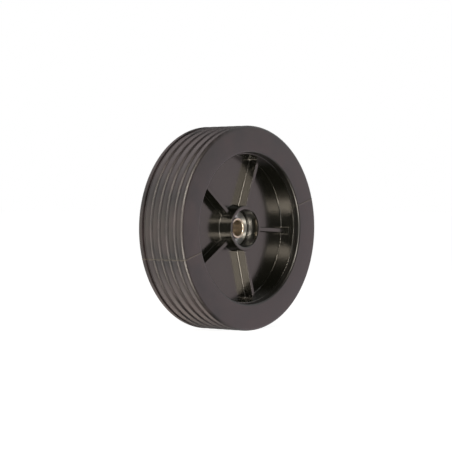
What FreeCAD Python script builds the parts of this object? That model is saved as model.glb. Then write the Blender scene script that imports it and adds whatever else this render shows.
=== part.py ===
"""Nylon wheel with a ribbed tyre, turning on two pressed ball bearings.

The axle runs along Y through the origin, which is the wheel's centre.
The face with the deep hub recess looks along -Y, and +Z is up.
"""
import FreeCAD, Part

import math
import os
import re

import Sketcher

SHEET_NAME = "Sizes"

# Driving dimensions in millimetres, unless the note says otherwise.
DIMENSIONS = (
    ("tyre_diameter", 200.0, "over the crowns of the ribs"),
    ("tyre_width", 57.0, "between the flat sidewalls"),
    ("tyre_opening", 148.0, "diameter of the side opening at the sidewall"),
    ("opening_taper", 1.0, "radial narrowing of the opening down to the rim"),
    ("opening_rounding", 0.8, "edge of the side opening"),
    ("shoulder_rounding", 3.0, "edge between tread and sidewall"),
    ("groove_count", 5, "grooves in the tread, a number"),
    ("front_rib", 8.6, "front sidewall to the middle of the first groove"),
    ("rear_rib", 7.6, "middle of the last groove to the rear sidewall"),
    ("groove_width", 4.4, "tread groove between the feet of the crowns"),
    ("groove_depth", 1.6, "below the feet of the crowns, before rounding"),
    ("groove_rounding", 2.0, "bottom of a tread groove"),
    ("crown_radius", 25.0, "crown of each rib, seen in section"),
    ("crest_rounding", 2.0, "edges of the ribs at the grooves"),
    ("seat_diameter", 151.2, "barrel of the rim, where the tyre sits"),
    ("rim_setback", 6.2, "sidewall to the edge of the barrel"),
    ("barrel_wall", 3.2, "barrel of the rim at its edge"),
    ("web_front", 6.0, "wheel's mid-plane to the front of the web"),
    ("web_thickness", 6.4, "disc between hub and barrel"),
    ("hub_diameter", 43.7, "outside of the hub at its ends"),
    ("hub_front", 21.0, "wheel's mid-plane to the front of the hub"),
    ("hub_rear", 25.5, "wheel's mid-plane to the rear of the hub"),
    ("mouth_wall", 2.2, "flat edge round the hub's mouth"),
    ("mouth_bevel", 0.5, "axial length of the bevel inside the mouth"),
    ("recess_diameter", 36.9, "hub recess in front of a bearing"),
    ("seat_shoulder", 3.5, "ledge that a bearing is pressed against"),
    ("seat_lead", 1.0, "bearing seat beyond the shell's edge"),
    ("spoke_count", 5, "spokes on each side, a number"),
    ("spoke_turn", -2.8, "first spoke from the X axis, in degrees"),
    ("spoke_thickness", 3.6, "across a spoke"),
    ("spoke_setback", 6.6, "edge of the barrel to the top of a spoke"),
    ("spoke_flare", 2.4, "rounding where a spoke meets the barrel"),
    ("wall_draft", 0.015, "taper of the moulded walls, mm for each mm"),
    ("corner_rounding", 1.0, "inside corners of the rim"),
    ("hub_rounding", 0.4, "outer edges of the hub's ends"),
    ("edge_rounding", 0.4, "inner edges of the barrel"),
    ("front_recess", 13.2, "hub's front end to the front bearing's edge"),
    ("rear_recess", 2.5, "hub's rear end to the rear bearing's edge"),
    ("axle_diameter", 15.0, "bore of races and spacer"),
    ("race_wall", 2.4, "neck of an inner race, and spacer"),
    ("race_standout", 3.4, "neck of a race beyond the shell's edge"),
    ("bore_rounding", 1.2, "bore's mouth at a race's outer end"),
    ("neck_rounding", 0.4, "outer edge of a race's outer end"),
    ("race_tail", 0.5, "race beyond the shell's inner end"),
    ("race_land", 7.0, "width of the raised land that holds the track"),
    ("land_height", 2.1, "land above the neck"),
    ("bearing_diameter", 36.0, "outside of a bearing shell"),
    ("bearing_width", 10.5, "straight wall of a bearing shell"),
    ("shell_thickness", 1.2, "pressed sheet"),
    ("shell_bend", 1.6, "outer radius of the shell's bend"),
    ("face_rise", 0.4, "dish of the shell's face, edge to hole"),
    ("face_gap", 0.6, "shell's hole and closing ring clear of the race"),
    ("ring_thickness", 1.2, "closing ring"),
    ("ring_setback", 0.3, "closing ring inside the shell's end"),
    ("ball_diameter", 6.0, "bearing balls"),
    ("ball_spacing", 0.4, "least space between two balls"),
    ("ball_clearance", 0.06, "ball to each of its tracks"),
    ("press_gap", 0.02, "radial gap between pieces pressed together"),
)

# Sizes that follow from the driving ones, written as the sheet's own sums.
HALF_WIDTH = "(tyre_width / 2)"
TREAD_RADIUS = "(tyre_diameter / 2)"
GROOVE_PITCH = "((tyre_width - front_rib - rear_rib) / (groove_count - 1))"
FIRST_GROOVE = f"(front_rib - {HALF_WIDTH})"
CROWN_HALF = f"({GROOVE_PITCH} / 2 - groove_width / 2)"
CROWN_DROP = f"(crown_radius - sqrt(crown_radius ^ 2 - {CROWN_HALF} ^ 2))"
RIM_HALF = f"({HALF_WIDTH} - rim_setback)"
SEAT_RADIUS = "(seat_diameter / 2)"
BARREL_INSIDE = f"({SEAT_RADIUS} - barrel_wall)"
WEB_REAR = "(web_thickness - web_front)"
HUB_RADIUS = "(hub_diameter / 2)"
SPOKE_TOP = f"({RIM_HALF} - spoke_setback)"
BORE_RADIUS = "(axle_diameter / 2)"
NECK_RADIUS = f"({BORE_RADIUS} + race_wall)"
LAND_RADIUS = f"({NECK_RADIUS} + land_height)"
SHELL_RADIUS = "(bearing_diameter / 2)"
SHELL_INSIDE = f"({SHELL_RADIUS} - shell_thickness)"
FACE_HOLE = f"({NECK_RADIUS} + face_gap)"
BALL_PITCH = f"({SHELL_INSIDE} - ball_clearance - ball_diameter / 2)"
BALL_LINE = "(bearing_width / 2)"
PRESS_SEAT = f"({SHELL_RADIUS} + press_gap)"
FRONT_EDGE = "(front_recess - hub_front)"
REAR_EDGE = "(hub_rear - rear_recess)"

FULL_TURN = 360.0
NEAR = 1e-4

doc = FreeCAD.newDocument("nylon_wheel")
sheet = doc.addObject("Spreadsheet::Sheet", SHEET_NAME)
for row, (alias, size, note) in enumerate(DIMENSIONS, start=1):
    sheet.set(f"A{row}", alias)
    sheet.set(f"B{row}", str(size))
    sheet.set(f"C{row}", note)
    sheet.setAlias(f"B{row}", alias)
doc.recompute()

ALIASES = {alias for alias, size, note in DIMENSIONS}


def bound(sum_of_sizes):
    """Return a sum of sizes with each alias named as the sheet's cell."""

    def cell(match):
        word = match.group(0)
        return f"{SHEET_NAME}.{word}" if word in ALIASES else word

    return re.sub(r"[a-z_]+", cell, sum_of_sizes)


def value(sum_of_sizes):
    """Return what a sum of sizes comes to, in millimetres."""
    answer = sheet.evalExpression(bound(sum_of_sizes))
    return float(getattr(answer, "Value", answer))


def origin_feature(body, role):
    """Return the body's own origin plane or axis of that role."""
    return next(item for item in body.Origin.OriginFeatures if item.Role == role)


def new_body(label):
    """Return a new body whose label names the sub-part."""
    body = doc.addObject("PartDesign::Body", label)
    body.Label = label
    return body


def new_sketch(body, name, role):
    """Return a sketch on one of the body's origin planes."""
    sketch = body.newObject("Sketcher::SketchObject", name)
    sketch.AttachmentSupport = [(origin_feature(body, role), "")]
    sketch.MapMode = "FlatFace"
    return sketch


def bind_new(sketch, constraint, name, sum_of_sizes):
    """Add a named dimension to a sketch and bind it to the sheet."""
    index = sketch.addConstraint(constraint)
    sketch.renameConstraint(index, name)
    sketch.setExpression(f"Constraints.{name}", bound(sum_of_sizes))


def draw_outline(sketch, corners, bulges=None):
    """Draw a closed outline whose corners are bound to the sheet.

    Each corner is a pair of sums, across and up. A bulge makes the side
    that starts at that corner an arc: its radius, a sum, and the centre.
    """
    bulges = bulges or {}
    points = [FreeCAD.Vector(value(across), value(up), 0) for across, up in corners]
    for index, start in enumerate(points):
        end = points[(index + 1) % len(points)]
        if index in bulges:
            radius, centre = bulges[index]
            middle = FreeCAD.Vector(value(centre[0]), value(centre[1]), 0)
            towards = (start + end) * 0.5 - middle
            towards.normalize()
            crest = middle + towards * value(radius)
            sketch.addGeometry(Part.Arc(start, crest, end), False)
        else:
            sketch.addGeometry(Part.LineSegment(start, end), False)
    for index in range(len(points)):
        following = (index + 1) % len(points)
        last_end = end_position(sketch, index, points[following])
        next_start = end_position(sketch, following, points[following])
        join = Sketcher.Constraint("Coincident", index, last_end, following, next_start)
        sketch.addConstraint(join)
    for index, (across, up) in enumerate(corners):
        spot = points[index]
        place = end_position(sketch, index, spot)
        flat = Sketcher.Constraint("DistanceX", -1, 1, index, place, spot.x)
        bind_new(sketch, flat, f"across_{index}", across)
        tall = Sketcher.Constraint("DistanceY", -1, 1, index, place, spot.y)
        bind_new(sketch, tall, f"up_{index}", up)
    for index, (radius, centre) in bulges.items():
        curve = Sketcher.Constraint("Radius", index, value(radius))
        bind_new(sketch, curve, f"radius_{index}", radius)


def end_position(sketch, index, spot):
    """Return 1 or 2, the end of a sketch's line or arc that lies at a point."""
    return 1 if (sketch.getPoint(index, 1) - spot).Length < NEAR else 2


def turn(body, name, corners):
    """Turn an outline of radius and axial place about the axle."""
    sketch = new_sketch(body, f"{name}_profile", "XY_Plane")
    draw_outline(sketch, corners)
    solid = body.newObject("PartDesign::Revolution", name)
    solid.Profile = sketch
    solid.ReferenceAxis = (sketch, ["V_Axis"])
    solid.Angle = FULL_TURN
    doc.recompute()
    return solid


def cut_round(body, name, sketch):
    """Cut a sketch out of the body all the way round the axle."""
    before = body.Shape.Volume
    groove = body.newObject("PartDesign::Groove", name)
    groove.Profile = sketch
    groove.ReferenceAxis = (sketch, ["V_Axis"])
    groove.Angle = FULL_TURN
    doc.recompute()
    if body.Shape.Volume >= before:
        raise RuntimeError(f"{name} cut nothing")
    return groove


def ring_edges(shape, rings):
    """Return the names of the round edges at pairs of radius and place."""
    names = []
    for number, edge in enumerate(shape.Edges, start=1):
        if not isinstance(edge.Curve, Part.Circle):
            continue
        radius = edge.Curve.Radius
        place = edge.Curve.Center.y
        if any(abs(radius - r) < NEAR and abs(place - y) < NEAR for r, y in rings):
            names.append(f"Edge{number}")
    return names


def round_rings(body, name, base, rings, rounding):
    """Round the edges at the given pairs of radius and axial place."""
    places = [(value(radius), value(place)) for radius, place in rings]
    return round_edges(body, name, base, ring_edges(base.Shape, places), rounding)


def round_edges(body, name, base, edges, rounding):
    """Round named edges of a feature by a size from the sheet."""
    fillet = body.newObject("PartDesign::Fillet", name)
    fillet.Base = (base, edges)
    fillet.setExpression("Radius", bound(rounding))
    doc.recompute()
    return fillet


def build_tyre():
    """Make the tyre: plain sidewalls, lips over the barrel, ribbed tread."""
    body = new_body("tyre")
    opening = "(tyre_opening / 2)"
    inner_lip = f"({opening} - opening_taper)"
    ring = turn(body, "tyre_ring", [
        (TREAD_RADIUS, f"-{HALF_WIDTH}"),
        (TREAD_RADIUS, HALF_WIDTH),
        (opening, HALF_WIDTH),
        (inner_lip, RIM_HALF),
        (SEAT_RADIUS, RIM_HALF),
        (SEAT_RADIUS, f"-{RIM_HALF}"),
        (inner_lip, f"-{RIM_HALF}"),
        (opening, f"-{HALF_WIDTH}"),
    ])
    shoulders = [(TREAD_RADIUS, HALF_WIDTH), (TREAD_RADIUS, f"-{HALF_WIDTH}")]
    rounded = round_rings(body, "tyre_shoulders", ring, shoulders, "shoulder_rounding")
    openings = [(opening, HALF_WIDTH), (opening, f"-{HALF_WIDTH}")]
    round_rings(body, "tyre_openings", rounded, openings, "opening_rounding")

    middle_before = f"({FIRST_GROOVE} - {GROOVE_PITCH} / 2)"
    middle_after = f"({FIRST_GROOVE} + {GROOVE_PITCH} / 2)"
    crest = f"({TREAD_RADIUS} - {CROWN_DROP})"
    bottom = f"({crest} - groove_depth)"
    above = f"({TREAD_RADIUS} + groove_depth)"
    crown_centre = f"({TREAD_RADIUS} - crown_radius)"
    sketch = new_sketch(body, "tread_groove_profile", "XY_Plane")
    draw_outline(sketch, [
        (above, middle_before),
        (TREAD_RADIUS, middle_before),
        (crest, f"{FIRST_GROOVE} - groove_width / 2"),
        (bottom, FIRST_GROOVE),
        (crest, f"{FIRST_GROOVE} + groove_width / 2"),
        (TREAD_RADIUS, middle_after),
        (above, middle_after),
    ], {
        1: ("crown_radius", (crown_centre, middle_before)),
        4: ("crown_radius", (crown_centre, middle_after)),
    })
    groove = cut_round(body, "tread_groove", sketch)
    row = body.newObject("PartDesign::LinearPattern", "tread_grooves")
    row.Originals = [groove]
    row.Direction = (sketch, ["V_Axis"])
    row.setExpression("Length", bound(f"{GROOVE_PITCH} * (groove_count - 1)"))
    row.setExpression("Occurrences", bound("groove_count"))
    body.Tip = row
    doc.recompute()

    bottoms = []
    crests = []
    for index in range(int(value("groove_count"))):
        middle = f"({FIRST_GROOVE} + {GROOVE_PITCH} * {index})"
        bottoms.append((bottom, middle))
        crests.append((crest, f"{middle} - groove_width / 2"))
        crests.append((crest, f"{middle} + groove_width / 2"))
    hollowed = round_rings(body, "groove_bottoms", row, bottoms, "groove_rounding")
    round_rings(body, "rib_crests", hollowed, crests, "crest_rounding")
    return body


def add_spokes(body, name, towards_front):
    """Add the spokes on one side of the web and repeat them round the axle."""
    sketch = new_sketch(body, f"{name}_outline", "XZ_Plane")
    inner = "((hub_diameter + recess_diameter) / 4)"
    outer = f"({SEAT_RADIUS} - barrel_wall / 2)"
    draw_outline(sketch, [
        (inner, "-spoke_thickness / 2"),
        (outer, "-spoke_thickness / 2"),
        (outer, "spoke_thickness / 2"),
        (inner, "spoke_thickness / 2"),
    ])
    web_middle = "(web_front - web_thickness / 2)"
    sketch.setExpression("AttachmentOffset.Base.z", bound(web_middle))
    sketch.setExpression("AttachmentOffset.Rotation.Angle", bound("spoke_turn"))
    spoke = body.newObject("PartDesign::Pad", name)
    spoke.Profile = sketch
    spoke.Reversed = not towards_front
    height = f"{SPOKE_TOP} - {web_middle}" if towards_front else f"{SPOKE_TOP} + {web_middle}"
    spoke.setExpression("Length", bound(height))
    doc.recompute()
    ring = body.newObject("PartDesign::PolarPattern", f"{name}_ring")
    ring.Originals = [spoke]
    ring.Axis = (origin_feature(body, "Y_Axis"), [""])
    ring.Angle = FULL_TURN
    ring.setExpression("Occurrences", bound("spoke_count"))
    body.Tip = ring
    doc.recompute()
    return ring


def floor_corners(shape):
    """Return the names of the edges that lie in the web's two faces."""
    floors = (value("-web_front"), value(WEB_REAR))
    names = []
    for number, edge in enumerate(shape.Edges, start=1):
        heights = [vertex.Point.y for vertex in edge.Vertexes]
        if any(all(abs(height - floor) < NEAR for height in heights) for floor in floors):
            names.append(f"Edge{number}")
    return names


def upright_corners(shape, at_barrel):
    """Return the names of the spokes' upright corners at the barrel or at the hub."""
    floors = (value("-web_front"), value(WEB_REAR))
    tops = (value(f"-{SPOKE_TOP}"), value(SPOKE_TOP))
    halfway = (value(HUB_RADIUS) + value(BARREL_INSIDE)) / 2
    names = []
    for number, edge in enumerate(shape.Edges, start=1):
        points = [vertex.Point for vertex in edge.Vertexes]
        low, high = min(point.y for point in points), max(point.y for point in points)
        upright = any(abs(low - min(pair)) < NEAR and abs(high - max(pair)) < NEAR for pair in zip(floors, tops))
        if upright and (math.hypot(points[0].x, points[0].z) > halfway) == at_barrel:
            names.append(f"Edge{number}")
    return names


def build_rim():
    """Make the rim: hub with two bearing seats, web, barrel and spokes."""
    body = new_body("rim")
    mouth = f"({HUB_RADIUS} - mouth_wall)"
    recess = "(recess_diameter / 2)"
    ledge = f"({PRESS_SEAT} - seat_shoulder)"
    front_seat = f"({FRONT_EDGE} - seat_lead)"
    front_stop = f"({FRONT_EDGE} + bearing_width)"
    rear_seat = f"({REAR_EDGE} + seat_lead)"
    rear_stop = f"({REAR_EDGE} - bearing_width)"
    rear_depth = f"({RIM_HALF} - {WEB_REAR})"
    front_depth = f"({RIM_HALF} - web_front)"
    solid = turn(body, "rim_turned", [
        (HUB_RADIUS, "-hub_front"),
        (mouth, "-hub_front"),
        (recess, "mouth_bevel - hub_front"),
        (recess, front_seat),
        (PRESS_SEAT, front_seat),
        (PRESS_SEAT, front_stop),
        (ledge, front_stop),
        (ledge, rear_stop),
        (PRESS_SEAT, rear_stop),
        (PRESS_SEAT, rear_seat),
        (mouth, "hub_rear"),
        (HUB_RADIUS, "hub_rear"),
        (f"{HUB_RADIUS} + wall_draft * (hub_rear - {WEB_REAR})", WEB_REAR),
        (f"{BARREL_INSIDE} - wall_draft * {rear_depth}", WEB_REAR),
        (BARREL_INSIDE, RIM_HALF),
        (f"{SEAT_RADIUS} - press_gap", RIM_HALF),
        (f"{SEAT_RADIUS} - press_gap", f"-{RIM_HALF}"),
        (BARREL_INSIDE, f"-{RIM_HALF}"),
        (f"{BARREL_INSIDE} - wall_draft * {front_depth}", "-web_front"),
        (f"{HUB_RADIUS} + wall_draft * (hub_front - web_front)", "-web_front"),
    ])
    hub_ends = [(HUB_RADIUS, "-hub_front"), (HUB_RADIUS, "hub_rear")]
    rounded = round_rings(body, "hub_edges", solid, hub_ends, "hub_rounding")
    barrel_ends = [(BARREL_INSIDE, RIM_HALF), (BARREL_INSIDE, f"-{RIM_HALF}")]
    round_rings(body, "barrel_edges", rounded, barrel_ends, "edge_rounding")
    add_spokes(body, "front_spoke", True)
    both = add_spokes(body, "rear_spoke", False)
    flared = round_edges(body, "spoke_flares", both, upright_corners(both.Shape, True), "spoke_flare")
    corners = floor_corners(flared.Shape) + upright_corners(flared.Shape, False)
    round_edges(body, "rim_corners", flared, corners, "corner_rounding")
    return body


def build_shell(side):
    """Make a bearing's pressed shell: straight wall and slightly dished face."""
    body = new_body(f"{side}_bearing_shell")
    wall = turn(body, f"{side}_shell_wall", [
        (SHELL_RADIUS, "0"),
        (FACE_HOLE, "-face_rise"),
        (FACE_HOLE, "shell_thickness - face_rise"),
        (SHELL_INSIDE, "shell_thickness"),
        (SHELL_INSIDE, "bearing_width"),
        (SHELL_RADIUS, "bearing_width"),
    ])
    bend = [(SHELL_RADIUS, "0")]
    round_rings(body, f"{side}_shell_bend", wall, bend, "shell_bend")
    return body


def build_race(side):
    """Make an inner race: neck, raised land and the track for the balls."""
    body = new_body(f"{side}_inner_race")
    land_start = f"({BALL_LINE} - race_land / 2)"
    land_end = f"({BALL_LINE} + race_land / 2)"
    tail = "(bearing_width + race_tail)"
    turn(body, f"{side}_race_turned", [
        (BORE_RADIUS, "-race_standout"),
        (NECK_RADIUS, "-race_standout"),
        (NECK_RADIUS, land_start),
        (LAND_RADIUS, land_start),
        (LAND_RADIUS, land_end),
        (NECK_RADIUS, land_end),
        (NECK_RADIUS, tail),
        (BORE_RADIUS, tail),
    ])
    sketch = new_sketch(body, f"{side}_track_profile", "XY_Plane")
    centre = FreeCAD.Vector(value(BALL_PITCH), value(BALL_LINE), 0)
    track = "ball_diameter / 2 + ball_clearance"
    axis = FreeCAD.Vector(0, 0, 1)
    sketch.addGeometry(Part.Circle(centre, axis, value(track)), False)
    across = Sketcher.Constraint("DistanceX", -1, 1, 0, 3, centre.x)
    bind_new(sketch, across, "pitch", BALL_PITCH)
    up = Sketcher.Constraint("DistanceY", -1, 1, 0, 3, centre.y)
    bind_new(sketch, up, "line", BALL_LINE)
    bind_new(sketch, Sketcher.Constraint("Radius", 0, value(track)), "track", track)
    track_cut = cut_round(body, f"{side}_track", sketch)
    mouth = [(BORE_RADIUS, "-race_standout")]
    rounded = round_rings(body, f"{side}_bore_mouth", track_cut, mouth, "bore_rounding")
    neck = [(NECK_RADIUS, "-race_standout")]
    round_rings(body, f"{side}_neck_edge", rounded, neck, "neck_rounding")
    return body


def build_closing_ring(side):
    """Make the ring that is pressed into the shell behind the balls."""
    body = new_body(f"{side}_closing_ring")
    end = "(bearing_width - ring_setback)"
    start = f"({end} - ring_thickness)"
    turn(body, f"{side}_ring_turned", [
        (FACE_HOLE, start),
        (f"{SHELL_INSIDE} - press_gap", start),
        (f"{SHELL_INSIDE} - press_gap", end),
        (FACE_HOLE, end),
    ])
    return body


def build_balls(side):
    """Make a full complement of balls, as many as the pitch circle takes."""
    pitch = value(BALL_PITCH)
    half_space = value("(ball_diameter + ball_spacing) / 2")
    count = math.floor(math.pi / math.asin(half_space / pitch))
    balls = []
    for index in range(count):
        ball = doc.addObject("Part::Sphere", f"{side}_ball")
        angle = FULL_TURN * index / count
        ball.setExpression("Radius", bound("ball_diameter / 2"))
        ball.setExpression("Placement.Base.x", bound(f"{BALL_PITCH} * cos({angle})"))
        ball.setExpression("Placement.Base.y", bound(BALL_LINE))
        ball.setExpression("Placement.Base.z", bound(f"{BALL_PITCH} * sin({angle})"))
        balls.append(ball)
    group = doc.addObject("Part::Compound", f"{side}_balls")
    group.Label = f"{side}_balls"
    group.Links = balls
    return group


def build_spacer():
    """Make the tube that keeps the two inner races apart."""
    body = new_body("spacer_tube")
    start = f"({FRONT_EDGE} + bearing_width + race_tail)"
    end = f"({REAR_EDGE} - bearing_width - race_tail)"
    turn(body, "spacer_turned", [
        (BORE_RADIUS, start),
        (NECK_RADIUS, start),
        (NECK_RADIUS, end),
        (BORE_RADIUS, end),
    ])
    return body


def build_bearing(side):
    """Make a bearing's four pieces and set them in their end of the hub.

    A bearing is drawn with its shell's edge at the origin and its inner end
    towards +Y. The rear one is turned round to face the other way.
    """
    pieces = [build_shell(side), build_race(side), build_closing_ring(side), build_balls(side)]
    for piece in pieces:
        if side == "rear":
            piece.Placement.Rotation = FreeCAD.Rotation(FreeCAD.Vector(0, 0, 1), FULL_TURN / 2)
        piece.setExpression("Placement.Base.y", bound(FRONT_EDGE if side == "front" else REAR_EDGE))
    return pieces


def write_parts(pieces):
    """Check every object and sub-part, then write each one to its file."""
    doc.recompute()
    for item in doc.Objects:
        if "Invalid" in item.State or "Error" in item.State:
            raise RuntimeError(f"{item.Name} failed: {item.State}")
    for piece in pieces:
        if piece.Shape.isNull() or not piece.Shape.isValid():
            raise RuntimeError(f"{piece.Label} has no valid shape")
    os.makedirs("parts", exist_ok=True)
    for piece in pieces:
        piece.Shape.exportStep(f"parts/{piece.Label}.step")
        print(f"{piece.Label}: {len(piece.Shape.Solids)} solid(s), {piece.Shape.Volume:.1f} mm3")


sub_parts = [build_tyre(), build_rim()]
for end_of_hub in ("front", "rear"):
    sub_parts += build_bearing(end_of_hub)
sub_parts.append(build_spacer())
write_parts(sub_parts)
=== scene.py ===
"""Looks of a nylon wheel with a ribbed rubber tyre on two pressed ball bearings.

The axle runs along Y through the origin, +Z is up, and the face with the deep
hub recess looks along -Y. Lengths of the wheel and its finishes are millimetres,
as on a drawing, and meshes are written in metres. The studio is set out in
metres and degrees: azimuth 0 stands in front of the face, and 90 at +X.
"""

import logging
import math
from dataclasses import dataclass
from enum import Enum

import bpy
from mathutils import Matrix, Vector


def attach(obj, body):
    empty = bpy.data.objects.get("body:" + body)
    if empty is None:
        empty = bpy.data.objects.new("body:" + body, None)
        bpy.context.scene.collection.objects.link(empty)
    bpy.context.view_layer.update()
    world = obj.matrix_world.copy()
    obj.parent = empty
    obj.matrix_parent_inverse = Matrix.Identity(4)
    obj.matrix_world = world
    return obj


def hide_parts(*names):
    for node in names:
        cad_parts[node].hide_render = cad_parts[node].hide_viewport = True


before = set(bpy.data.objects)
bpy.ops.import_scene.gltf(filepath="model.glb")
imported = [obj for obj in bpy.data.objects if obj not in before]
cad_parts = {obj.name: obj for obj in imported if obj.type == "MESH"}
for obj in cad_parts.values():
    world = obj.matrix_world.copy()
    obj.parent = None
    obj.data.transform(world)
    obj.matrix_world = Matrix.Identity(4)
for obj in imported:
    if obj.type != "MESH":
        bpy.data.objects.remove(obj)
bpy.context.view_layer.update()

LOG = logging.getLogger("nylon_wheel")

Point = tuple[float, float]
Span = tuple[float, float]
Place = tuple[float, float, float]
Corner = tuple[float, float, float]
Station = tuple[float, float]
Radiance = tuple[float, float, float]
Face = tuple[int, int, int, int]
Colour = tuple[float, float, float, float]

# A millimetre in metres.
MM = 0.001
# Side of the picture in pixels, and width of the camera's sensor in millimetres.
PICTURE = 452.0
SENSOR = 36.0
# Length after which a wave texture repeats at a scale of one.
WAVE_PERIOD = math.pi / 10.0
WHITE: Colour = (1.0, 1.0, 1.0, 1.0)


def linear(code: str) -> Colour:
    """Turn an sRGB hex code into a linear colour, by the curve of the sRGB standard.

    Args:
        code: Six hex digits with a leading #.

    Returns:
        Red, green, blue and an alpha of one, linear.
    """
    shares = [int(code[place:place + 2], 16) / 255.0 for place in (1, 3, 5)]
    red, green, blue = [s / 12.92 if s <= 0.04045 else ((s + 0.055) / 1.055) ** 2.4 for s in shares]
    return (red, green, blue, 1.0)


def add_node(tree: bpy.types.NodeTree, kind: str, settings: dict | None = None,
             inputs: dict | None = None) -> bpy.types.Node:
    """Add a shader node with its settings, values and links.

    Args:
        tree: Node tree that takes the node.
        kind: Blender's name for the kind of node.
        settings: Properties of the node.
        inputs: Values, or sockets to link from, by input name or number.

    Returns:
        The new node.
    """
    node = tree.nodes.new(kind)
    for name, setting in (settings or {}).items():
        setattr(node, name, setting)
    for name, given in (inputs or {}).items():
        if isinstance(given, bpy.types.NodeSocket):
            tree.links.new(given, node.inputs[name])
        else:
            node.inputs[name].default_value = given
    return node


def per_metre(millimetres: float) -> float:
    """Return how often a length fits into a metre, which is the scale of a pattern of that size."""
    return 1.0 / (millimetres * MM)


def add_noise(tree: bpy.types.NodeTree, place: bpy.types.NodeSocket, size: float, detail: float,
              roughness: float = 0.5) -> bpy.types.NodeSocket:
    """Add a noise texture.

    Args:
        tree: Node tree that takes the noise.
        place: Socket with the place on the piece.
        size: Size of the noise's features, in millimetres.
        detail: Number of finer layers.
        roughness: Strength of each finer layer beside the one before.

    Returns:
        The noise's value.
    """
    return add_node(tree, "ShaderNodeTexNoise", inputs={
        "Vector": place, "Scale": per_metre(size), "Detail": detail, "Roughness": roughness}).outputs["Fac"]


def add_tint(tree: bpy.types.NodeTree, share: bpy.types.NodeSocket, first: str,
             second: str) -> bpy.types.NodeSocket:
    """Add a mix of two sRGB hex colours and return the mixed colour."""
    return add_node(tree, "ShaderNodeMix", {"data_type": "RGBA"}, {
        "Factor": share, "A": linear(first), "B": linear(second)}).outputs["Result"]


def blank_material(name: str) -> tuple[bpy.types.Material, bpy.types.NodeTree, bpy.types.Node]:
    """Return a new material, its node tree and its output node."""
    material = bpy.data.materials.new(name)
    material.use_nodes = True
    tree = material.node_tree
    tree.nodes.clear()
    return material, tree, add_node(tree, "ShaderNodeOutputMaterial")


@dataclass(frozen=True)
class MouldedRubber:
    """Tyre rubber from a steel mould: near-black, matt, with a faint bloom."""

    name: str = "moulded_tyre_rubber"
    base: str = "#060505"
    bloom: str = "#1e181a"
    roughness: Span = (0.35, 0.51)
    ior: float = 1.52
    grain: float = 0.9
    grain_detail: float = 2.0
    grain_height: float = 0.02
    grain_strength: float = 0.25
    cloud: float = 22.0
    cloud_detail: float = 4.0
    cloud_roughness: float = 0.6
    cloud_span: Span = (0.3, 0.7)

    def make(self) -> bpy.types.Material:
        """Return the rubber as a material."""
        material, tree, output = blank_material(self.name)
        place = add_node(tree, "ShaderNodeTexCoord").outputs["Object"]
        cloud = add_noise(tree, place, self.cloud, self.cloud_detail, self.cloud_roughness)
        # Smears of bloom tint and dull the surface in patches.
        bloom = add_node(tree, "ShaderNodeMapRange", inputs={
            "Value": cloud, "From Min": self.cloud_span[0], "From Max": self.cloud_span[1]})
        tint = add_tint(tree, bloom.outputs["Result"], self.base, self.bloom)
        smear = add_node(tree, "ShaderNodeMapRange", inputs={
            "Value": bloom.outputs["Result"], "To Min": self.roughness[0], "To Max": self.roughness[1]})
        # The mould's blasted grain is finer than a pixel, so it is drawn coarser.
        grain = add_noise(tree, place, self.grain, self.grain_detail)
        bump = add_node(tree, "ShaderNodeBump", inputs={
            "Strength": self.grain_strength, "Distance": self.grain_height * MM, "Height": grain})
        surface = add_node(tree, "ShaderNodeBsdfPrincipled", inputs={
            "Base Color": tint, "Roughness": smear.outputs["Result"], "IOR": self.ior,
            "Normal": bump.outputs["Normal"]})
        tree.links.new(surface.outputs["BSDF"], output.inputs["Surface"])
        return material


OUTER_RUBBER = MouldedRubber()
# The tyre's inner wall is moulded against a polished core, so it shines more; its darker tint is painted
# shade for the shadowed band inside the opening.
INNER_WALL_RUBBER = MouldedRubber("inner_wall_rubber_painted_shade", "#070706", "#0c0c0a", (0.3, 0.38))
# Along the parting line runs a narrow strip that is rougher and paler than the rest of the rubber.
PARTING_STRIP_RUBBER = MouldedRubber("parting_line_strip_rubber", "#2a2721", "#3b372d", (0.55, 0.65))


@dataclass(frozen=True)
class MouldedNylon:
    """Black nylon from a polished mould: near-black body under a smooth, blurred gloss."""

    name: str = "moulded_black_nylon"
    base: str = "#060705"
    bloom: str = "#0b0b09"
    roughness: float = 0.18
    ior: float = 1.53
    sheen: str = "#fffcf6"
    ripple: float = 14.0
    ripple_detail: float = 2.0
    ripple_height: float = 0.02
    ripple_strength: float = 0.3
    grain: float = 1.1
    grain_detail: float = 3.0
    grain_height: float = 0.014
    grain_strength: float = 1.0
    edge: float = 0.45
    edge_samples: int = 6

    def make(self) -> bpy.types.Material:
        """Return the nylon as a material."""
        material, tree, output = blank_material(self.name)
        place = add_node(tree, "ShaderNodeTexCoord").outputs["Object"]
        # No moulded edge is sharp: a small rounding catches the light along every rib.
        edge = add_node(tree, "ShaderNodeBevel", {"samples": self.edge_samples}, {"Radius": self.edge * MM})
        ripple = add_noise(tree, place, self.ripple, self.ripple_detail)
        waves = add_node(tree, "ShaderNodeBump", inputs={
            "Strength": self.ripple_strength, "Distance": self.ripple_height * MM, "Height": ripple,
            "Normal": edge.outputs["Normal"]})
        # The glass-filled skin has a finer grain than this, too fine to show in the render.
        grain = add_noise(tree, place, self.grain, self.grain_detail)
        bump = add_node(tree, "ShaderNodeBump", inputs={
            "Strength": self.grain_strength, "Distance": self.grain_height * MM, "Height": grain,
            "Normal": waves.outputs["Normal"]})
        surface = add_node(tree, "ShaderNodeBsdfPrincipled", inputs={
            "Base Color": add_tint(tree, ripple, self.base, self.bloom), "Roughness": self.roughness,
            "IOR": self.ior, "Specular Tint": linear(self.sheen), "Normal": bump.outputs["Normal"]})
        tree.links.new(surface.outputs["BSDF"], output.inputs["Surface"])
        return material


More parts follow.
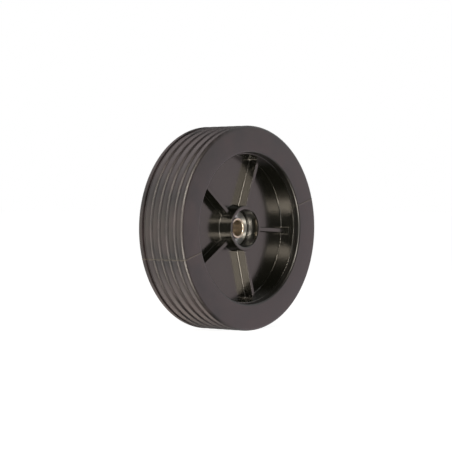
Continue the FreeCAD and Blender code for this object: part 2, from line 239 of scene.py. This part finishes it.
@dataclass(frozen=True)
class Metal:
    """A bare or plated metal: a cloudy sheen, and the rings that its making left round the axle."""

    name: str
    bright: str
    dull: str
    roughness: Span
    cloud: float
    ring: float
    ring_height: float
    cloud_detail: float = 3.0
    ring_strength: float = 0.4
    ring_distortion: float = 0.4

    def make(self) -> bpy.types.Material:
        """Return the metal as a material."""
        material, tree, output = blank_material(self.name)
        place = add_node(tree, "ShaderNodeTexCoord").outputs["Object"]
        cloud = add_noise(tree, place, self.cloud, self.cloud_detail)
        sheen = add_node(tree, "ShaderNodeMapRange", inputs={
            "Value": cloud, "To Min": self.roughness[0], "To Max": self.roughness[1]})
        rings = add_node(tree, "ShaderNodeTexWave", {"wave_type": "RINGS", "rings_direction": "SPHERICAL"}, {
            "Vector": place, "Scale": WAVE_PERIOD * per_metre(self.ring),
            "Distortion": self.ring_distortion})
        bump = add_node(tree, "ShaderNodeBump", inputs={
            "Strength": self.ring_strength, "Distance": self.ring_height * MM,
            "Height": rings.outputs["Fac"]})
        surface = add_node(tree, "ShaderNodeBsdfPrincipled", inputs={
            "Base Color": add_tint(tree, cloud, self.bright, self.dull), "Metallic": 1.0,
            "Roughness": sheen.outputs["Result"], "Normal": bump.outputs["Normal"]})
        tree.links.new(surface.outputs["BSDF"], output.inputs["Surface"])
        return material


# Zinc plate on pressed sheet is bright and slightly cloudy, with a cool cast and faint draw rings.
ZINC_PLATE = Metal(
    "zinc_plated_pressed_sheet", bright="#f0f3f3", dull="#dfe2e2", roughness=(0.33, 0.42),
    cloud=5.0, ring=0.9, ring_height=0.004)
# Turned races carry a film of grease; the steel's warm tint is painted reflection of warm light in the bore.
# Real tool marks are finer than these.
TURNED_STEEL = Metal(
    "turned_steel_painted_warm_reflection", bright="#c0b7a8", dull="#aaa08f", roughness=(0.27, 0.37),
    cloud=4.0, ring=0.6, ring_height=0.006)
# Lapped balls are nearly mirrors.
LAPPED_STEEL = Metal(
    "lapped_ball_steel", bright="#d4d4d4", dull="#cccccc", roughness=(0.07, 0.09),
    cloud=3.0, ring=0.5, ring_height=0.0002)


def dress(node: str, material: bpy.types.Material) -> None:
    """Give every material slot of a CAD node one material."""
    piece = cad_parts[node]
    for place in piece.material_slots:
        place.material = material
    LOG.info("%s dressed in %s", node, material.name)


def add_object(name: str, data: bpy.types.ID) -> bpy.types.Object:
    """Return a new object that stands in the scene."""
    piece = bpy.data.objects.new(name, data)
    bpy.context.scene.collection.objects.link(piece)
    return piece


def arc(centre: Point, radius: float, start: float, end: float, steps: int) -> list[Point]:
    """Return points along an arc.

    Args:
        centre: Centre of the arc.
        radius: Its radius.
        start: Angle of the first point, in degrees.
        end: Angle of the last point, in degrees.
        steps: Number of spans.

    Returns:
        The points, both ends among them.
    """
    angles = [math.radians(start + (end - start) * step / steps) for step in range(steps + 1)]
    return [(centre[0] + radius * math.cos(a), centre[1] + radius * math.sin(a)) for a in angles]


def rounded(corners: list[Corner], steps: int) -> list[Point]:
    """Return an open outline whose corners are rounded.

    Args:
        corners: Across, up and rounding of each corner.
        steps: Spans in each rounded corner.

    Returns:
        The outline's points.
    """
    points: list[Point] = []
    for index, (across, up, rounding) in enumerate(corners):
        if rounding <= 0.0 or index in (0, len(corners) - 1):
            points.append((across, up))
            continue
        here = Vector((across, up))
        before = (Vector(corners[index - 1][:2]) - here).normalized()
        after = (Vector(corners[index + 1][:2]) - here).normalized()
        half = before.angle(after) / 2.0
        reach = rounding / math.tan(half)
        middle = here + (before + after).normalized() * (rounding / math.sin(half))
        first = here + before * reach - middle
        last = here + after * reach - middle
        for step in range(steps + 1):
            spoke = first.lerp(last, step / steps).normalized() * rounding
            points.append((middle.x + spoke.x, middle.y + spoke.y))
    return points


def outward(section: list[Point]) -> list[Vector]:
    """Return the direction out of a closed section at each of its points."""
    normals = []
    for before, after in zip(section[-1:] + section[:-1], section[1:] + section[:1]):
        along = Vector((after[0] - before[0], after[1] - before[1])).normalized()
        normals.append(Vector((along.y, -along.x)))
    return normals


def grid_faces(rows: int, columns: int, closed: bool) -> list[Face]:
    """Return the faces between points that stand in rows.

    Args:
        rows: Number of rows.
        columns: Number of points in a row.
        closed: Whether the last row meets the first, and the last point of a row its first.

    Returns:
        The four point numbers of each face.
    """
    open_ends = 0 if closed else 1
    faces = []
    for row in range(rows - open_ends):
        here = row * columns
        following = (row + 1) % rows * columns
        for column in range(columns - open_ends):
            after = (column + 1) % columns
            faces.append((here + column, here + after, following + after, following + column))
    return faces


class Skin(Enum):
    """The tyre's surfaces, numbered as its material slots are."""

    OUTER = 0
    CORE = 1
    TRIMMED = 2


@dataclass
class Tyre:
    """The tyre: one moulding with plain sidewalls, a ribbed tread and a parting line."""

    diameter: float = 200.0
    width: float = 57.0
    opening: float = 148.0
    opening_taper: float = 0.6
    opening_rounding: float = 2.0
    shoulder_rounding: float = 3.0
    groove_count: int = 5
    front_rib: float = 8.6
    rear_rib: float = 7.6
    groove_width: float = 4.4
    groove_depth: float = 1.6
    groove_rounding: float = 2.0
    crown_radius: float = 25.0
    crest_rounding: float = 2.0
    slit_place: float = 22.3
    slit_width: float = 1.5
    slit_depth: float = 4.5
    seat_diameter: float = 151.2
    rim_setback: float = 6.2
    parting_angle: float = 17.0
    parting_height: float = 0.12
    parting_base: float = 0.9
    # Shares of half the parting line's base: half its flat top, and how near other sections may stand.
    parting_top: float = 0.6
    parting_clear: float = 1.5
    segments: int = 360
    edge_steps: int = 8
    crown_steps: int = 4
    groove_steps: int = 5
    sharp_angle: float = 40.0

    def ribs(self) -> list[Point]:
        """Return the ribs and grooves between the shoulders as pairs of radius and axial place."""
        half = self.width / 2.0
        crown_centre = self.diameter / 2.0 - self.crown_radius
        pitch = (self.width - self.front_rib - self.rear_rib) / (self.groove_count - 1)
        groove_half = self.groove_width / 2.0
        crown_half = pitch / 2.0 - groove_half
        swing = math.degrees(math.asin(crown_half / self.crown_radius))
        crest = crown_centre + math.sqrt(self.crown_radius ** 2 - crown_half ** 2)
        points: list[Point] = []
        for number in range(self.groove_count):
            middle = self.front_rib - half + pitch * number
            rise = arc((crown_centre, middle - pitch / 2.0), self.crown_radius, 0.0, swing, self.crown_steps)
            fall = arc((crown_centre, middle + pitch / 2.0), self.crown_radius, -swing, 0.0, self.crown_steps)
            groove = rounded([
                (*rise[-2], 0.0),
                (crest, middle - groove_half, self.crest_rounding),
                (crest - self.groove_depth, middle, self.groove_rounding),
                (crest, middle + groove_half, self.crest_rounding),
                (*fall[1], 0.0),
            ], self.groove_steps)
            points += rise[1:-2] + groove + fall[2:]
        return [point for point in points if abs(point[1]) < half - self.shoulder_rounding]

    def section(self) -> list[Point]:
        """Return the tyre's closed section as pairs of radius and axial place."""
        half = self.width / 2.0
        tread = self.diameter / 2.0
        opening = self.opening / 2.0
        lip_end = half - self.rim_setback
        front = rounded([
            (self.seat_diameter / 2.0, -lip_end, 0.0),
            (opening - self.opening_taper, -lip_end, 0.0),
            (opening, -half, self.opening_rounding),
            (tread, -half, self.shoulder_rounding),
            (tread, 0.0, 0.0),
        ], self.edge_steps)[:-1]
        back = [(radius, -place) for radius, place in reversed(front)]
        ribs = self.ribs()
        slit_start = self.slit_place - self.slit_width / 2.0
        slit_end = self.slit_place + self.slit_width / 2.0
        before = [point for point in ribs if point[1] < slit_start]
        after = [point for point in ribs if point[1] > slit_end]
        slit = [
            (before[-1][0], slit_start),
            (before[-1][0] - self.slit_depth, self.slit_place),
            (after[0][0], slit_end),
        ]
        return front + before + slit + after + back

    def stations(self) -> list[Station]:
        """Return the angle of each section round the axle and its share of the parting line's height."""
        base = math.degrees(self.parting_base / self.diameter)
        top = self.parting_top * base
        stations = [(360.0 * step / self.segments, 0.0) for step in range(self.segments)]
        for line in (self.parting_angle, self.parting_angle + 180.0):
            stations = [s for s in stations if abs(s[0] - line) > self.parting_clear * base]
            stations += [(line - base, 0.0), (line - top, 1.0), (line + top, 1.0), (line + base, 0.0)]
        return sorted(stations)

    def points(self, section: list[Point], stations: list[Station]) -> list[Place]:
        """Return the section's points at each station.

        Args:
            section: The closed section.
            stations: Angle and share of the parting line's height of each station.

        Returns:
            The places of the points, in metres.
        """
        normals = outward(section)
        points = []
        for angle, share in stations:
            lift = share * self.parting_height
            turn = math.radians(angle)
            for (radius, place), normal in zip(section, normals):
                out = radius + normal.x * lift
                along = place + normal.y * lift
                points.append((out * math.cos(turn) * MM, along * MM, out * math.sin(turn) * MM))
        return points

    def skins(self, section: list[Point], stations: list[Station]) -> list[int]:
        """Return the material slot of each face.

        Args:
            section: The closed section.
            stations: Angle and share of the parting line's height of each station.

        Returns:
            The slots' numbers, in the order of the faces.
        """
        core = self.opening / 2.0 + self.opening_rounding
        plain = [
            (Skin.CORE if max(here[0], after[0]) <= core else Skin.OUTER).value
            for here, after in zip(section, section[1:] + section[:1])
        ]
        parting_strip = [Skin.TRIMMED.value] * len(section)
        skins: list[int] = []
        for (_, share), (_, following_share) in zip(stations, stations[1:] + stations[:1]):
            skins += parting_strip if share * following_share > 0.0 else plain
        return skins

    def build(self) -> bpy.types.Object:
        """Return the tyre as a mesh that rides on the wheel."""
        section = self.section()
        stations = self.stations()
        mesh = bpy.data.meshes.new("ribbed_tyre")
        faces = grid_faces(len(stations), len(section), closed=True)
        mesh.from_pydata(self.points(section, stations), [], faces)
        mesh.validate()
        mesh.shade_smooth()
        mesh.set_sharp_from_angle(angle=math.radians(self.sharp_angle))
        piece = add_object("ribbed_tyre", mesh)
        for finish in (OUTER_RUBBER, INNER_WALL_RUBBER, PARTING_STRIP_RUBBER):
            mesh.materials.append(finish.make())
        mesh.polygons.foreach_set("material_index", self.skins(section, stations))
        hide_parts("tyre")
        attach(piece, "wheel")
        LOG.info("tyre: %d faces", len(mesh.polygons))
        return piece


@dataclass
class Rim:
    """The rim: one nylon moulding of hub, web, spokes and barrel."""

    node: str = "rim"

    def build(self) -> None:
        """Dress the rim."""
        dress(self.node, MouldedNylon().make())


class End(Enum):
    """The two ends of the hub."""

    FRONT = "front"
    REAR = "rear"


@dataclass
class Bearing:
    """A pressed ball bearing: shell, inner race, closing ring and balls."""

    end: End
    zinc: bpy.types.Material
    steel: bpy.types.Material
    polished: bpy.types.Material

    def build(self) -> None:
        """Dress the bearing's four pieces."""
        dress(f"{self.end.value}_bearing_shell", self.zinc)
        dress(f"{self.end.value}_closing_ring", self.zinc)
        dress(f"{self.end.value}_inner_race", self.steel)
        dress(f"{self.end.value}_balls", self.polished)


@dataclass(frozen=True)
class Lamp:
    """A soft lamp that faces the wheel. Its radiance says how bright its face is, by colour."""

    name: str
    azimuth: float
    elevation: float
    size: Point
    away: float
    radiance: Radiance

    def through_floor(self) -> bool:
        """Return whether the lamp stands so low that the floor mustn't block it."""
        return self.elevation <= 0.0


@dataclass(frozen=True)
class Card:
    """A curved dark card round the wheel, by its first and last azimuth and elevation."""

    name: str
    azimuths: Span
    elevations: Span


LAMPS = (
    Lamp("high_lamp", -46.0, 29.5, (0.3, 0.32), 1.2, (46.0, 41.4, 35.9)),
    Lamp("low_lamp", -46.0, -27.0, (0.3, 0.34), 1.2, (50.0, 45.0, 39.0)),
    Lamp("high_glow", -46.0, 46.0, (0.3, 0.34), 1.2, (14.0, 12.6, 10.6)),
    Lamp("low_glow", -46.0, -44.0, (0.3, 0.34), 1.2, (14.0, 12.6, 10.6)),
    Lamp("right_soft_box", 62.0, -18.0, (1.5, 1.5), 1.6, (0.45, 0.245, 0.315)),
    Lamp("high_rear_soft_box", 184.0, 48.0, (1.7, 0.8), 1.6, (0.86, 0.66, 0.64)),
    Lamp("low_rear_soft_box", 184.0, -48.0, (1.7, 0.8), 1.6, (1.15, 0.86, 0.7)),
    Lamp("left_soft_box", -137.0, 0.0, (1.2, 0.9), 1.6, (1.0, 0.8, 0.54)),
    Lamp("front_soft_box", -47.0, 0.0, (2.2, 1.5), 1.6, (0.98, 0.9, 0.78)),
)
CARDS = (
    Card("front_card", (-10.0, 30.0), (-62.0, 62.0)),
    Card("high_front_card", (-85.0, -10.0), (30.0, 62.0)),
    Card("low_front_card", (-85.0, -10.0), (-62.0, -30.0)),
    Card("top_card", (-180.0, 180.0), (62.0, 90.0)),
    Card("bottom_card", (-180.0, 180.0), (-90.0, -62.0)),
    Card("rear_card", (122.0, 165.0), (-42.0, 42.0)),
)


def direction(azimuth: float, elevation: float) -> Vector:
    """Return the unit vector from the wheel towards a place round it, given in degrees."""
    a, e = math.radians(azimuth), math.radians(elevation)
    return Vector((math.sin(a) * math.cos(e), -math.cos(a) * math.cos(e), math.sin(e)))


def face_wheel(piece: bpy.types.Object, azimuth: float, elevation: float, away: float) -> None:
    """Stand a camera or lamp round the wheel, looking at it.

    Args:
        piece: The camera or lamp.
        azimuth: Its place round the wheel, in degrees.
        elevation: Its place above the wheel, in degrees.
        away: Its distance, in metres.
    """
    way = direction(azimuth, elevation)
    piece.location = way * away
    piece.rotation_euler = (-way).to_track_quat("-Z", "Y").to_euler()


def seen(tree: bpy.types.NodeTree) -> bpy.types.NodeSocket:
    """Return a socket that is one for rays that show the background, and else nought."""
    path = add_node(tree, "ShaderNodeLightPath").outputs
    shown = add_node(tree, "ShaderNodeMath", {"operation": "MAXIMUM"}, {
        0: path["Is Camera Ray"], 1: path["Is Glossy Ray"]})
    return add_node(tree, "ShaderNodeMath", {"operation": "MAXIMUM"}, {
        0: shown.outputs[0], 1: path["Is Transmission Ray"]}).outputs[0]


@dataclass
class Studio:
    """Plain studio: pale floor, white surroundings, lamps, soft boxes and dark cards for contrast."""

    azimuth: float = -48.6
    elevation: float = 0.93
    distance: float = 1.755
    focal_pixels: float = 1782.0
    middle: Point = (229.45, 227.94)
    clip: Span = (0.01, 100.0)
    ambient: float = 0.25
    floor_level: float = -0.1002
    floor_reach: float = 12.0
    floor_paint: str = "#e8e8e8"
    floor_glow: float = 1.35
    floor_glow_share: float = 0.7
    card_distance: float = 1.9
    card_steps: int = 24
    card_paint: str = "#101010"

    def camera(self) -> None:
        """Add the camera at the picture's viewing angle."""
        data = bpy.data.cameras.new("camera")
        data.sensor_width = SENSOR
        data.lens = self.focal_pixels / PICTURE * SENSOR
        data.shift_x = (PICTURE / 2.0 - self.middle[0]) / PICTURE
        data.shift_y = (self.middle[1] - PICTURE / 2.0) / PICTURE
        data.clip_start, data.clip_end = self.clip
        eye = add_object("camera", data)
        face_wheel(eye, self.azimuth, self.elevation, self.distance)
        bpy.context.scene.camera = eye

    def world(self) -> None:
        """Make the surroundings: white where they are seen, dimmer as light."""
        world = bpy.data.worlds.new("studio")
        bpy.context.scene.world = world
        world.use_nodes = True
        tree = world.node_tree
        tree.nodes.clear()
        output = add_node(tree, "ShaderNodeOutputWorld")
        light = add_node(tree, "ShaderNodeBackground", inputs={"Color": WHITE, "Strength": self.ambient})
        white = add_node(tree, "ShaderNodeBackground", inputs={"Color": WHITE, "Strength": 1.0})
        both = add_node(tree, "ShaderNodeMixShader", inputs={
            0: seen(tree), 1: light.outputs[0], 2: white.outputs[0]})
        tree.links.new(both.outputs[0], output.inputs["Surface"])

    def stand(self, name: str, points: list[Place], faces: list[Face],
              material: bpy.types.Material) -> bpy.types.Object:
        """Set up a part of the stage.

        Args:
            name: Its name.
            points: Places of its points, in metres.
            faces: The four point numbers of each face.
            material: Its material.

        Returns:
            The stage part.
        """
        mesh = bpy.data.meshes.new(name)
        mesh.from_pydata(points, [], faces)
        mesh.materials.append(material)
        piece = add_object(name, mesh)
        return piece

    def floor(self) -> bpy.types.Object:
        """Lay the pale floor, which takes the wheel's shadow."""
        material, tree, output = blank_material("pale_studio_floor")
        matt = add_node(tree, "ShaderNodeBsdfDiffuse", inputs={"Color": linear(self.floor_paint)})
        glow = add_node(tree, "ShaderNodeEmission", inputs={"Color": WHITE, "Strength": self.floor_glow})
        share = add_node(tree, "ShaderNodeMath", {"operation": "MULTIPLY"}, {
            0: seen(tree), 1: self.floor_glow_share})
        both = add_node(tree, "ShaderNodeMixShader", inputs={
            0: share.outputs[0], 1: matt.outputs[0], 2: glow.outputs[0]})
        tree.links.new(both.outputs[0], output.inputs["Surface"])
        corners = [(x * self.floor_reach, y * self.floor_reach, self.floor_level)
                   for x, y in ((-1, -1), (1, -1), (1, 1), (-1, 1))]
        piece = self.stand("floor", corners, [(0, 1, 2, 3)], material)
        piece.visible_glossy = False
        return piece

    def lamp(self, lamp: Lamp, floor: bpy.types.Object) -> None:
        """Hang a lamp, and let a low one shine through the floor."""
        data = bpy.data.lights.new(lamp.name, "AREA")
        data.shape = "RECTANGLE"
        data.size, data.size_y = lamp.size
        data.color = lamp.radiance
        # The power follows the lamp's area, so that the area doesn't change how bright its face is.
        data.energy = math.pi * lamp.size[0] * lamp.size[1]
        piece = add_object(lamp.name, data)
        face_wheel(piece, lamp.azimuth, lamp.elevation, lamp.away)
        piece.visible_camera = False
        if lamp.through_floor():
            blockers = bpy.data.collections.new(f"{lamp.name}_blockers")
            blockers.objects.link(floor)
            piece.light_linking.blocker_collection = blockers
            blockers.collection_objects[0].light_linking.link_state = "EXCLUDE"

    def card(self, card: Card, material: bpy.types.Material) -> None:
        """Stand a card round the wheel, where only reflections show it."""
        steps = range(self.card_steps + 1)
        (first, last), (low, high) = card.azimuths, card.elevations
        points = []
        for row in steps:
            elevation = low + (high - low) * row / self.card_steps
            for column in steps:
                azimuth = first + (last - first) * column / self.card_steps
                points.append(tuple(direction(azimuth, elevation) * self.card_distance))
        piece = self.stand(card.name, points, grid_faces(len(steps), len(steps), closed=False), material)
        piece.visible_camera = False
        piece.visible_diffuse = False
        piece.visible_shadow = False

    def build(self) -> None:
        """Set the studio up."""
        bpy.context.scene.view_settings.view_transform = "Standard"
        self.camera()
        self.world()
        floor = self.floor()
        for lamp in LAMPS:
            self.lamp(lamp, floor)
        black, tree, output = blank_material("black_card")
        matt = add_node(tree, "ShaderNodeBsdfDiffuse", inputs={"Color": linear(self.card_paint)})
        tree.links.new(matt.outputs[0], output.inputs["Surface"])
        for card in CARDS:
            self.card(card, black)
        LOG.info("studio set up")


def main() -> None:
    """Build the wheel piece by piece, then the studio."""
    logging.basicConfig(level=logging.INFO)
    Tyre().build()
    Rim().build()
    zinc, steel, polished = ZINC_PLATE.make(), TURNED_STEEL.make(), LAPPED_STEEL.make()
    for end in End:
        Bearing(end, zinc, steel, polished).build()
    dress("spacer_tube", steel)
    Studio().build()


if __name__ == "__main__":
    main()
